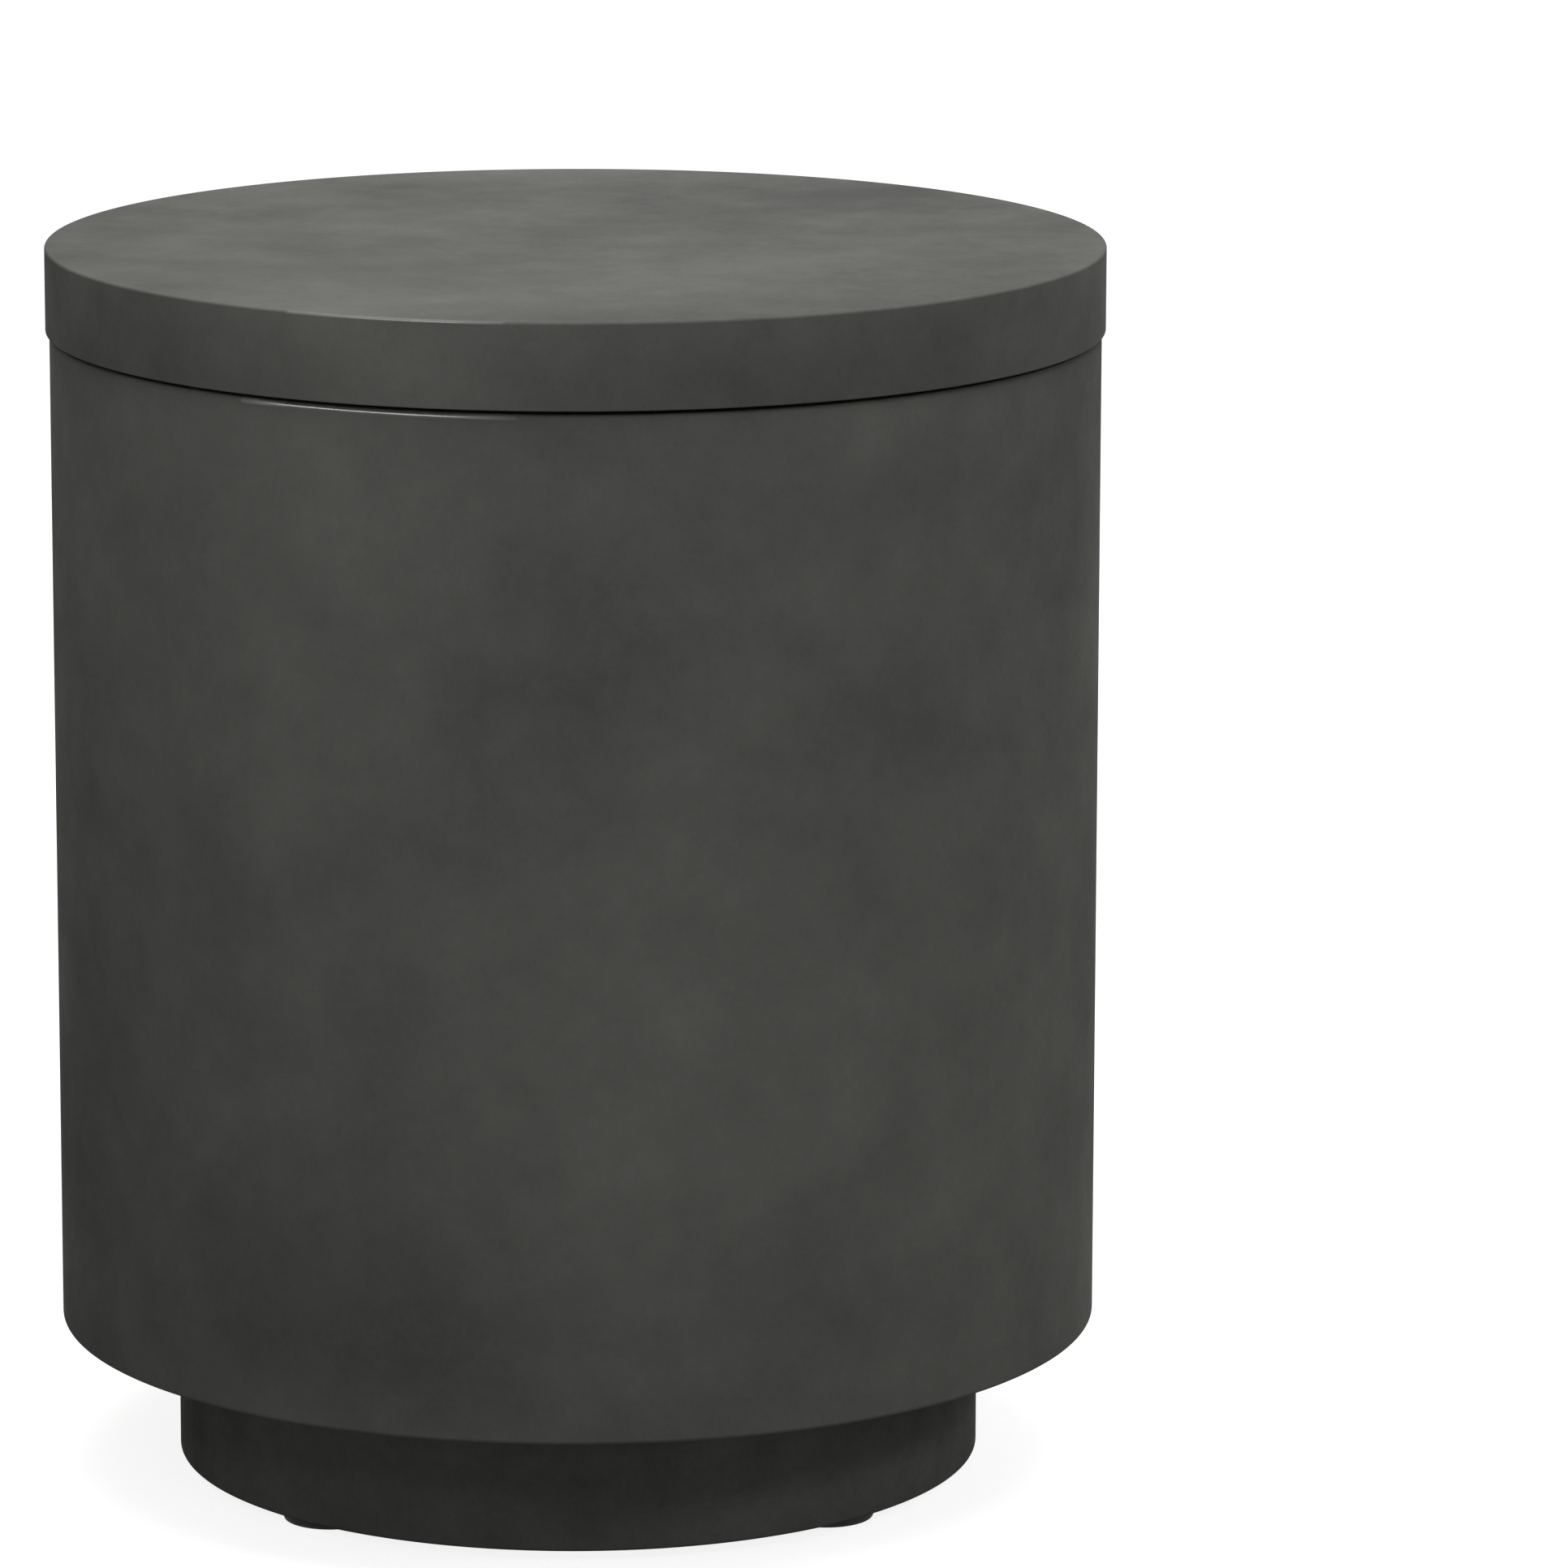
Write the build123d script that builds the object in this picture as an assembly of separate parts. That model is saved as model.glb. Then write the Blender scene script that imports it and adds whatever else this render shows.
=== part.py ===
from build123d import *
from math import asin, degrees
import os

# Round cast side table with a lift-off lid and a hung ice bucket.
# Millimetres, +Z up, origin on the floor under the middle of the table, front at -Y.

# Cast body
body_diameter = 397.0
body_height = 380.5
body_wall = 20.0
body_floor = 20.0
shoulder_width = 12.0
shoulder_height = 16.0
rim_round = 2.0
body_edge_round = 1.5
floor_round = 12.0

# Cast lid and the rubber bumpers that hold it off the rim
lid_overhang = 1.5
lid_height = 32.0
lid_plate = 16.0
lid_edge_round = 1.0
lid_hollow_round = 8.0
ring_width = 10.0
ring_depth = 9.0
ring_clearance = 2.5
bumper_count = 4
bumper_height = 1.5
bumper_margin = 1.0

# Cast plinth
plinth_inset = 44.5
plinth_height = 54.0
plinth_wall = 18.0
plinth_edge_round = 1.5
boss_margin = 2.0
boss_blend = 8.0
boss_web = 6.0

# Feet, with a screw and an anchor in each boss
foot_count = 4
foot_diameter = 36.0
foot_height = 4.0
foot_edge_margin = 4.0
foot_round = 1.2
screw_diameter = 5.0
screw_head_diameter = 9.6
screw_head_height = 2.3
screw_tip_gap = 4.0
anchor_wall = 2.5

# Bolted joint between body and plinth
bolt_diameter = 8.0
bolt_head_flats = 13.0
bolt_head_height = 5.3
bolt_tip_gap = 2.0
washer_diameter = 22.0
washer_thickness = 2.0
insert_wall = 2.0
insert_length = 18.0

# Sheet steel bucket
sheet = 1.0
bucket_clearance = 5.5
bucket_floor_gap = 112.0
flange_bend = 3.0
curl_radius = 2.0
curl_clearance = 3.5
bead_height = 2.0
bead_width = 12.0
bead_drop = 62.0
bead_rise = 34.0
base_rim = 12.0
base_bend = 4.0
base_panel_diameter = 210.0
base_panel_rise = 3.0
base_panel_slope = 6.0

# Ears, rivets and bail
ear_thickness = 2.0
ear_eye_radius = 8.0
ear_foot_radius = 7.0
ear_headroom = 5.0
rivet_drop = 15.0
rivet_spacing = 20.0
rivet_diameter = 4.0
rivet_head_diameter = 8.0
rivet_head_height = 1.8
rivet_head_round = 1.4
bail_wire = 5.0
bail_bend = 4.5
bail_head_diameter = 9.0
bail_head_thickness = 3.0
bail_head_round = 1.0

# Fits
seat_gap = 0.1
hole_clearance = 0.5
pivot_clearance = 0.3
side_play = 0.5
bail_rest_gap = 0.2

# Radii that follow from the sizes above
body_radius = body_diameter / 2
bore_radius = body_radius - body_wall
shoulder_radius = bore_radius - shoulder_width
lid_radius = body_radius + lid_overhang
ring_outer = bore_radius - ring_clearance
ring_inner = ring_outer - ring_width
plinth_radius = body_radius - plinth_inset
foot_radius = foot_diameter / 2
foot_circle = plinth_radius - foot_edge_margin - foot_radius
boss_radius = foot_radius + boss_margin
bumper_circle = (body_radius + bore_radius) / 2
bumper_radius = body_wall / 2 - rim_round - bumper_margin
bolt_radius = bolt_diameter / 2
insert_bore = bolt_radius + seat_gap
insert_radius = insert_bore + insert_wall
screw_radius = screw_diameter / 2
anchor_bore = screw_radius + seat_gap
anchor_radius = anchor_bore + anchor_wall
wall_outer = shoulder_radius - bucket_clearance
wall_middle = wall_outer - sheet / 2
wall_inner = wall_outer - sheet
curl_middle = bore_radius - curl_clearance - sheet / 2 - curl_radius
ear_outer = wall_inner - seat_gap
ear_inner = ear_outer - ear_thickness
wire_radius = bail_wire / 2

# Heights that follow from the sizes above
plinth_bottom = foot_height
plinth_top = plinth_bottom + plinth_height
floor_top = plinth_top + body_floor
rim_top = plinth_top + body_height
lid_bottom = rim_top + bumper_height
lid_top = lid_bottom + lid_height
ring_bottom = lid_bottom - ring_depth
pivot_height = ring_bottom - ear_headroom - ear_eye_radius
curl_top = pivot_height - wire_radius - bail_rest_gap
shoulder_top = curl_top - 2 * curl_radius - sheet
flange_middle = shoulder_top + sheet / 2
bucket_bottom = floor_top + bucket_floor_gap
base_middle = bucket_bottom + base_rim
rivet_height = shoulder_top - rivet_drop
insert_bottom = plinth_top - insert_length
anchor_top = insert_bottom - boss_web

first_foot_angle = 360 / foot_count / 2
half_turn = Rot(0, 0, 180)


def turned(*corners):
    # Solid of revolution about Z; each corner is (radius, height) or (radius, height, rounding)
    points = [corner[:2] for corner in corners]
    rounding = [corner[2] if len(corner) > 2 else 0 for corner in corners]
    outline = FilletPolyline(*points, radius=rounding, close=True)
    return revolve(Plane.XZ * make_face(outline), Axis.Z)


def spun_sheet(*lines):
    # Sheet metal of even thickness, spun about Z from its middle line
    return revolve(Plane.XZ * trace(Curve() + list(lines), sheet), Axis.Z)


def stations(solid, count, first_angle):
    # Copies of one solid at even angles about Z
    return [Rot(0, 0, first_angle + i * 360 / count) * solid for i in range(count)]


def along_x(solid):
    # Lay a solid that was turned about Z along X instead
    return Rot(0, 90, 0) * solid


def make_table_body():
    shoulder_bottom = shoulder_top - shoulder_height
    body = turned(
        (0, plinth_top),
        (body_radius, plinth_top, body_edge_round),
        (body_radius, rim_top, rim_round),
        (bore_radius, rim_top, rim_round),
        (bore_radius, shoulder_top),
        (shoulder_radius, shoulder_top, rim_round),
        (shoulder_radius, shoulder_bottom),
        (bore_radius, shoulder_bottom - shoulder_width),
        (bore_radius, floor_top, floor_round),
        (0, floor_top),
    )
    hole = Pos(foot_circle, 0, plinth_top) * Cylinder(
        bolt_radius + hole_clearance, body_floor, align=(Align.CENTER, Align.CENTER, Align.MIN)
    )
    return body - stations(hole, foot_count, first_foot_angle)


def make_plinth():
    bosses = stations(Pos(foot_circle, 0) * Circle(boss_radius), foot_count, 0)
    hollow = Circle(plinth_radius - plinth_wall) - bosses
    hollow = fillet(hollow.vertices(), boss_blend)
    section = Rot(0, 0, first_foot_angle) * (Circle(plinth_radius) - hollow)
    plinth = Pos(0, 0, plinth_bottom) * extrude(section, plinth_height)
    outer_rims = plinth.edges().filter_by(GeomType.CIRCLE).group_by(SortBy.RADIUS)[-1]
    plinth = fillet(outer_rims.sort_by(Axis.Z)[0], plinth_edge_round)
    insert_hole = turned(
        (0, insert_bottom),
        (insert_radius + seat_gap, insert_bottom),
        (insert_radius + seat_gap, plinth_top),
        (0, plinth_top),
    )
    anchor_hole = turned(
        (0, plinth_bottom),
        (anchor_radius + seat_gap, plinth_bottom),
        (anchor_radius + seat_gap, anchor_top),
        (0, anchor_top),
    )
    holes = Pos(foot_circle, 0) * (insert_hole + anchor_hole)
    return plinth - stations(holes, foot_count, first_foot_angle)


def make_plinth_bolt():
    head_bottom = floor_top + washer_thickness
    tip = insert_bottom + bolt_tip_gap
    head = Pos(0, 0, head_bottom) * extrude(RegularPolygon(bolt_head_flats / 2, 6, False), bolt_head_height)
    shank = turned((0, tip), (bolt_radius, tip), (bolt_radius, head_bottom), (0, head_bottom))
    return Pos(foot_circle, 0) * (head + shank)


def make_plinth_washer():
    bore = bolt_radius + hole_clearance
    washer = turned(
        (bore, floor_top),
        (washer_diameter / 2, floor_top),
        (washer_diameter / 2, floor_top + washer_thickness),
        (bore, floor_top + washer_thickness),
    )
    return Pos(foot_circle, 0) * washer


def make_plinth_insert():
    insert = turned(
        (insert_bore, insert_bottom),
        (insert_radius, insert_bottom),
        (insert_radius, plinth_top),
        (insert_bore, plinth_top),
    )
    return Pos(foot_circle, 0) * insert


def make_foot():
    hole = screw_radius + hole_clearance
    head_seat = screw_head_diameter / 2 + seat_gap
    seat_top = foot_height - screw_head_height / 2
    seat_bottom = seat_top - screw_head_height
    foot = turned(
        (hole, plinth_bottom),
        (foot_radius, plinth_bottom),
        (foot_radius, 0, foot_round),
        (head_seat, 0),
        (head_seat, seat_bottom),
        (hole, seat_top),
    )
    return Pos(foot_circle, 0) * foot


def make_foot_screw():
    head_top = foot_height - screw_head_height / 2
    tip = anchor_top - screw_tip_gap
    screw = turned(
        (0, head_top - screw_head_height),
        (screw_head_diameter / 2, head_top - screw_head_height),
        (screw_radius, head_top),
        (screw_radius, tip),
        (0, tip + screw_radius),
    )
    return Pos(foot_circle, 0) * screw


def make_foot_anchor():
    anchor = turned(
        (anchor_bore, plinth_bottom),
        (anchor_radius, plinth_bottom),
        (anchor_radius, anchor_top),
        (anchor_bore, anchor_top),
    )
    return Pos(foot_circle, 0) * anchor


def make_lid():
    return turned(
        (0, lid_top),
        (lid_radius, lid_top, lid_edge_round),
        (lid_radius, lid_bottom, lid_edge_round),
        (ring_outer, lid_bottom),
        (ring_outer, ring_bottom, lid_edge_round),
        (ring_inner, ring_bottom, lid_edge_round),
        (ring_inner, lid_top - lid_plate, lid_hollow_round),
        (0, lid_top - lid_plate),
    )


def make_lid_bumper():
    bumper = turned((0, rim_top), (bumper_radius, rim_top), (bumper_radius, lid_bottom), (0, lid_bottom))
    return Pos(bumper_circle, 0) * bumper


def rivet_angles():
    # Angles about Z, either side of the ear's middle
    half_angle = degrees(asin(rivet_spacing / 2 / wall_middle))
    return [-half_angle, half_angle]


def rivet_holes():
    # Radial holes for one ear's rivets, through the ear and the wall behind it
    radius = rivet_diameter / 2 + seat_gap
    hole = Pos(wall_middle, 0, rivet_height) * along_x(Cylinder(radius, wall_middle))
    return [Rot(0, 0, angle) * hole for angle in rivet_angles()]


def bead(height):
    # Outward swage in the bucket wall, one arc across its width
    below = (wall_middle, height - bead_width / 2)
    crown = (wall_middle + bead_height, height)
    above = (wall_middle, height + bead_width / 2)
    return ThreePointArc(below, crown, above)


def make_bucket_wall():
    lower_bead = bead(base_middle + bead_rise)
    upper_bead = bead(shoulder_top - bead_drop)
    rim = FilletPolyline(
        upper_bead @ 1, (wall_middle, flange_middle), (curl_middle, flange_middle), radius=flange_bend
    )
    curl = CenterArc((curl_middle, flange_middle + curl_radius), curl_radius, -90, 270)
    wall = spun_sheet(
        Line((wall_middle, bucket_bottom), lower_bead @ 0),
        lower_bead,
        Line(lower_bead @ 1, upper_bead @ 0),
        upper_bead,
        rim,
        curl,
    )
    right_holes = rivet_holes()
    left_holes = [half_turn * hole for hole in right_holes]
    return wall - right_holes - left_holes


def make_bucket_base():
    rim_middle = wall_inner - seat_gap - sheet / 2
    panel_radius = base_panel_diameter / 2
    return spun_sheet(
        Polyline(
            (0, base_middle + base_panel_rise),
            (panel_radius, base_middle + base_panel_rise),
            (panel_radius + base_panel_slope, base_middle),
        ),
        FilletPolyline(
            (panel_radius + base_panel_slope, base_middle),
            (rim_middle, base_middle),
            (rim_middle, bucket_bottom),
            radius=base_bend,
        ),
    )


def make_ear():
    half_foot = rivet_spacing / 2 + ear_foot_radius
    ear_bottom = rivet_height - ear_foot_radius
    ear_top = pivot_height + ear_eye_radius
    outline = FilletPolyline(
        (-half_foot, ear_bottom),
        (half_foot, ear_bottom),
        (ear_eye_radius, ear_top),
        (-ear_eye_radius, ear_top),
        radius=[ear_foot_radius, ear_foot_radius, ear_eye_radius, ear_eye_radius],
        close=True,
    )
    blank = extrude(Plane.YZ * make_face(outline), body_radius)
    band = Cylinder(ear_outer, lid_top) - Cylinder(ear_inner, lid_top)
    ear = blank & (Pos(0, 0, lid_top / 2) * band)
    eye_hole = Pos(wall_middle, 0, pivot_height) * along_x(Cylinder(wire_radius + pivot_clearance, wall_middle))
    return ear - eye_hole - rivet_holes()


def make_rivets():
    inner_face = ear_inner - seat_gap
    outer_face = wall_outer + seat_gap
    head = rivet_head_diameter / 2
    shank = rivet_diameter / 2
    rivet = turned(
        (0, inner_face - rivet_head_height),
        (head, inner_face - rivet_head_height, rivet_head_round),
        (head, inner_face),
        (shank, inner_face),
        (shank, outer_face),
        (head, outer_face),
        (head, outer_face + rivet_head_height, rivet_head_round),
        (0, outer_face + rivet_head_height),
    )
    rivet = Pos(0, 0, rivet_height) * along_x(rivet)
    return [Rot(0, 0, angle) * rivet for angle in rivet_angles()]


def make_bail():
    leg = ear_inner - side_play - bail_bend
    straight = curl_middle - leg
    pin_end = ear_outer + side_play
    right = FilletPolyline((pin_end, 0), (leg, 0), (leg, straight), radius=bail_bend)
    bow = CenterArc((0, straight), leg, 0, 180)
    left = FilletPolyline((-leg, straight), (-leg, 0), (-pin_end, 0), radius=bail_bend)
    path = Wire(right.edges() + bow.edges() + left.edges())
    wire = sweep(Plane(path @ 0, z_dir=path % 0) * Circle(wire_radius), path)
    head = turned(
        (0, pin_end),
        (bail_head_diameter / 2, pin_end, bail_head_round),
        (bail_head_diameter / 2, pin_end + bail_head_thickness, bail_head_round),
        (0, pin_end + bail_head_thickness),
    )
    right_head = along_x(head)
    left_head = half_turn * right_head
    return Pos(0, 0, pivot_height) * (wire + right_head + left_head)


bolts = stations(make_plinth_bolt(), foot_count, first_foot_angle)
washers = stations(make_plinth_washer(), foot_count, first_foot_angle)
inserts = stations(make_plinth_insert(), foot_count, first_foot_angle)
feet = stations(make_foot(), foot_count, first_foot_angle)
screws = stations(make_foot_screw(), foot_count, first_foot_angle)
anchors = stations(make_foot_anchor(), foot_count, first_foot_angle)
bumpers = stations(make_lid_bumper(), bumper_count, first_foot_angle)
ear = make_ear()
rivets = make_rivets()

nodes = {
    "table_body": make_table_body(),
    "plinth": make_plinth(),
    "plinth_bolts": Compound(bolts),
    "plinth_washers": Compound(washers),
    "plinth_inserts": Compound(inserts),
    "foot_rear_right": feet[0],
    "foot_rear_left": feet[1],
    "foot_front_left": feet[2],
    "foot_front_right": feet[3],
    "foot_screws": Compound(screws),
    "foot_anchors": Compound(anchors),
    "lid": make_lid(),
    "bucket_wall": make_bucket_wall(),
    "bucket_base": make_bucket_base(),
    "bucket_ear_right": ear,
    "bucket_ear_left": half_turn * ear,
    "ear_rivets_right": Compound(rivets),
    "ear_rivets_left": Compound([half_turn * rivet for rivet in rivets]),
    "bail": make_bail(),
}
for number, bumper in enumerate(bumpers, 1):
    nodes[f"lid_bumper_{number}"] = bumper

os.makedirs("parts", exist_ok=True)
for name, solid in nodes.items():
    export_step(solid, f"parts/{name}.step")
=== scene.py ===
import bmesh
import bpy
import math
from mathutils import Matrix, Vector


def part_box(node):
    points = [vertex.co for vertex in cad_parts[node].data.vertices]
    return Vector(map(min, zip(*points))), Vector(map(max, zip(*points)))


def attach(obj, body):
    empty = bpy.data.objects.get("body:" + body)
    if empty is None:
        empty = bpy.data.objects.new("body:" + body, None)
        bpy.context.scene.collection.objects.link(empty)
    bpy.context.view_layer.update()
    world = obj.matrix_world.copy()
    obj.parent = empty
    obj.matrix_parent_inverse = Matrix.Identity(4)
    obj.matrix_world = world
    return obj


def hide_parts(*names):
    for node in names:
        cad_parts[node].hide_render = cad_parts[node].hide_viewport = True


# Cast side table with a lift-off lid over a steel ice bucket. Sizes are in millimetres until a mesh is made.
mm = 0.001

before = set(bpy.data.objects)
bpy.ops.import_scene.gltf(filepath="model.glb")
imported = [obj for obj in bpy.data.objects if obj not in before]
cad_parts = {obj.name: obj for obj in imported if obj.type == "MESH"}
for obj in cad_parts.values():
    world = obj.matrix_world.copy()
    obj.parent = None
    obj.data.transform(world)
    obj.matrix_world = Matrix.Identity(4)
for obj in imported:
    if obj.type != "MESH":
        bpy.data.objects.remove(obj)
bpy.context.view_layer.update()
print("frame loaded:", len(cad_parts), "nodes")


def addNode(tree, kind, links=None, **settings):
    node = tree.nodes.new(kind)
    for name, value in settings.items():
        setattr(node, name, value)
    for socket, source in (links or {}).items():
        if isinstance(source, bpy.types.NodeSocket):
            tree.links.new(source, node.inputs[socket])
        else:
            node.inputs[socket].default_value = source
    return node


def linear(hexColour):  # sRGB hex to the linear colour that a shader reads
    channels = [int(hexColour[i:i + 2], 16) / 255 for i in (1, 3, 5)]
    return [c / 12.92 if c <= 0.04045 else ((c + 0.055) / 1.055) ** 2.4 for c in channels] + [1.0]


def perMm(size):  # texture scale that gives features of this many millimetres on Object coordinates
    return 1000 / size


def startMaterial(name):
    material = bpy.data.materials.new(name)
    material.use_nodes = True
    tree = material.node_tree
    tree.nodes.clear()
    shader = addNode(tree, "ShaderNodeBsdfPrincipled")
    addNode(tree, "ShaderNodeOutputMaterial", {"Surface": shader.outputs["BSDF"]})
    place = addNode(tree, "ShaderNodeTexCoord").outputs["Object"]
    return material, tree, shader, place


# The stretch of a noise's values, which keep near 0.5, that a pair of tones or roughnesses is spread over
noiseSpan = {"tone": (0.25, 0.75), "sheen": (0.3, 0.7)}


def giveSurface(tree, shader, toneShare, tones, sheenNoise, roughness):  # pairs: at low values, at high
    colour = addNode(tree, "ShaderNodeMix", {
        0: toneShare, 6: linear(tones[0]), 7: linear(tones[1])}, data_type="RGBA")
    tree.links.new(colour.outputs[2], shader.inputs["Base Color"])
    low, high = noiseSpan["sheen"]
    sheen = addNode(tree, "ShaderNodeMapRange", {
        "Value": sheenNoise, "From Min": low, "From Max": high,
        "To Min": roughness[0], "To Max": roughness[1]})
    tree.links.new(sheen.outputs[0], shader.inputs["Roughness"])
    return sheen.outputs[0]


# Fibre concrete cast in a smooth mould and sealed: a dark warm grey with broad clouds where the slurry
# settled, patches within them, a sandy grain that shows only close up, and a dull sheen. Edges that hands rub
# are polished, less so towards the ends of the grip, where gripFade is added to their roughness. The sand is
# finer than 1 mm, drawn here as coarse as it needs to show
concrete = {
    "cloud": {"sizeMm": 180, "detail": 3.0, "roughness": 0.5, "share": (0.06, 0.94)},
    "patch": {"sizeMm": 70, "detail": 6.0, "roughness": 0.74, "share": (-0.36, 0.36)},
    "grain": {"sizeMm": 2.2, "detail": 2.0, "roughness": 0.6, "share": (-0.06, 0.06)},
    "roughness": (0.88, 0.72), "specular": 0.009,
    "rubbedRoughness": (0.24, 0.16), "rubbedSpecular": 0.22, "gripFade": 0.62,
    "swellMm": 22, "swellDepthMm": 0.12, "grainDepthMm": 0.03,
}


def gripDullness(tree, place, grip):  # how much rougher a rubbed edge is towards the ends of its grip
    spot = addNode(tree, "ShaderNodeSeparateXYZ", {0: place}).outputs
    ahead = addNode(tree, "ShaderNodeMath", {0: spot[1], 1: -1.0}, operation="MULTIPLY")
    heading = addNode(tree, "ShaderNodeMath", {0: spot[0], 1: ahead.outputs[0]}, operation="ARCTAN2")
    start, fullStart, fullEnd, end = [math.radians(degrees) for degrees in grip]
    before = addNode(tree, "ShaderNodeMapRange", {
        "Value": heading.outputs[0], "From Min": start, "From Max": fullStart,
        "To Min": concrete["gripFade"], "To Max": 0.0})
    after = addNode(tree, "ShaderNodeMapRange", {
        "Value": heading.outputs[0], "From Min": fullEnd, "From Max": end,
        "To Min": 0.0, "To Max": concrete["gripFade"]})
    dullness = addNode(tree, "ShaderNodeMath", {0: before.outputs[0], 1: after.outputs[0]}, operation="ADD")
    return dullness.outputs[0]


def makeConcrete(name, look, rubbed=False):  # look: the piece's tones and where its clouds and patches start
    material, tree, shader, place = startMaterial(name)
    low, high = noiseSpan["tone"]
    noises, shares = {}, {}
    for layer, start in (("cloud", look["cloudStart"]), ("patch", look["patchStart"]), ("grain", (0, 0, 0))):
        sizes = concrete[layer]
        least, most = sizes["share"]
        shifted = addNode(tree, "ShaderNodeMapping", {"Vector": place, "Location": start})
        noise = addNode(tree, "ShaderNodeTexNoise", {
            "Vector": shifted.outputs[0], "Scale": perMm(sizes["sizeMm"]), "Detail": sizes["detail"],
            "Roughness": sizes["roughness"]})
        share = addNode(tree, "ShaderNodeMapRange", {
            "Value": noise.outputs[0], "From Min": low, "From Max": high, "To Min": least, "To Max": most},
            clamp=False)
        noises[layer], shares[layer] = noise.outputs[0], share.outputs[0]
    soft = addNode(tree, "ShaderNodeMath", {0: shares["cloud"], 1: shares["patch"]}, operation="ADD")
    tone = addNode(tree, "ShaderNodeMath", {0: soft.outputs[0], 1: shares["grain"]}, operation="ADD")
    roughness = concrete["rubbedRoughness" if rubbed else "roughness"]
    sheen = giveSurface(tree, shader, tone.outputs[0], look["tones"], noises["patch"], roughness)
    if rubbed:
        faded = addNode(tree, "ShaderNodeMath", {
            0: sheen, 1: gripDullness(tree, place, look["grip"])}, operation="ADD")
        tree.links.new(faded.outputs[0], shader.inputs["Roughness"])
    shader.inputs["Specular IOR Level"].default_value = concrete["rubbedSpecular" if rubbed else "specular"]
    swell = addNode(tree, "ShaderNodeTexNoise", {
        "Vector": place, "Scale": perMm(concrete["swellMm"]), "Detail": 1.0})
    swellBump = addNode(tree, "ShaderNodeBump", {
        "Height": swell.outputs[0], "Distance": concrete["swellDepthMm"] * mm, "Strength": 1.0})
    grainBump = addNode(tree, "ShaderNodeBump", {
        "Height": noises["grain"], "Distance": concrete["grainDepthMm"] * mm, "Strength": 1.0,
        "Normal": swellBump.outputs[0]})
    tree.links.new(grainBump.outputs[0], shader.inputs["Normal"])
    return material


# Stainless sheet spun to shape: fine lines run round the piece, and hands leave duller patches.
# Real spin lines are about 0.2 mm apart, drawn here as coarse as they need to show
spunSteel = {
    "tones": ("#949698", "#b2b4b6"), "lineMm": 1.1, "lineDepthMm": 0.012,
    "patchMm": 55, "roughness": (0.29, 0.42),
}


def makeSpunSteel():
    material, tree, shader, place = startMaterial("spunStainless")
    flat = addNode(tree, "ShaderNodeVectorMath", {0: place, 1: (1, 1, 0)}, operation="MULTIPLY")
    radius = addNode(tree, "ShaderNodeVectorMath", {0: flat.outputs[0]}, operation="LENGTH")
    height = addNode(tree, "ShaderNodeSeparateXYZ", {0: place})
    section = addNode(tree, "ShaderNodeCombineXYZ", {0: radius.outputs["Value"], 2: height.outputs[2]})
    lines = addNode(tree, "ShaderNodeTexNoise", {
        "Vector": section.outputs[0], "Scale": perMm(spunSteel["lineMm"]), "Detail": 3.0, "Roughness": 0.7})
    patches = addNode(tree, "ShaderNodeTexNoise", {
        "Vector": place, "Scale": perMm(spunSteel["patchMm"]), "Detail": 3.0})
    giveSurface(
        tree, shader, lines.outputs[0], spunSteel["tones"], patches.outputs[0], spunSteel["roughness"])
    shader.inputs["Metallic"].default_value = 1.0
    bump = addNode(tree, "ShaderNodeBump", {
        "Height": lines.outputs[0], "Distance": spunSteel["lineDepthMm"] * mm, "Strength": 1.0})
    tree.links.new(bump.outputs[0], shader.inputs["Normal"])
    return material


# Metal worked cold and left bare or plated: an even sheen with a faint blotchy bloom
def makeWorkedMetal(name, tones, patchMm, roughness):
    material, tree, shader, place = startMaterial(name)
    patches = addNode(tree, "ShaderNodeTexNoise", {
        "Vector": place, "Scale": perMm(patchMm), "Detail": 4.0, "Roughness": 0.6})
    giveSurface(tree, shader, patches.outputs[0], tones, patches.outputs[0], roughness)
    shader.inputs["Metallic"].default_value = 1.0
    return material


# Moulded rubber and nylon: dull, with the spark texture of the mould, drawn as coarse as it needs to show
def makeMoulded(name, tones, grainMm, depthMm, roughness, specular):
    material, tree, shader, place = startMaterial(name)
    grain = addNode(tree, "ShaderNodeTexNoise", {
        "Vector": place, "Scale": perMm(grainMm), "Detail": 3.0, "Roughness": 0.6})
    giveSurface(tree, shader, grain.outputs[0], tones, grain.outputs[0], roughness)
    shader.inputs["Specular IOR Level"].default_value = specular
    bump = addNode(tree, "ShaderNodeBump", {
        "Height": grain.outputs[0], "Distance": depthMm * mm, "Strength": 1.0})
    tree.links.new(bump.outputs[0], shader.inputs["Normal"])
    return material


spunStainless = makeSpunSteel()
pressedStainless = makeWorkedMetal(  # satin grey, a little uneven from the press
    "pressedStainless", tones=("#939597", "#afb1b3"), patchMm=9, roughness=(0.29, 0.42))
drawnWire = makeWorkedMetal(  # darker, with a long soft gleam
    "drawnSteelWire", tones=("#808284", "#a4a6a8"), patchMm=14, roughness=(0.29, 0.38))
zincPlate = makeWorkedMetal(  # pale cool grey with small dull spangles
    "zincPlatedSteel", tones=("#8f9296", "#b4b7ba"), patchMm=5, roughness=(0.3, 0.48))
turnedBrass = makeWorkedMetal(  # warm yellow with a fresh sheen
    "turnedBrass", tones=("#a8842e", "#cda84f"), patchMm=4, roughness=(0.29, 0.4))
mouldedRubber = makeMoulded(  # near black and matt
    "mouldedRubber", tones=("#161616", "#252524"), grainMm=2.2, depthMm=0.04,
    roughness=(0.62, 0.8), specular=0.3)
mouldedNylon = makeMoulded(  # undyed pale grey with a soft shine
    "mouldedNylon", tones=("#a3a39c", "#b9b9b2"), grainMm=3, depthMm=0.04,
    roughness=(0.4, 0.55), specular=0.5)
print("metals and mouldings made")

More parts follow.
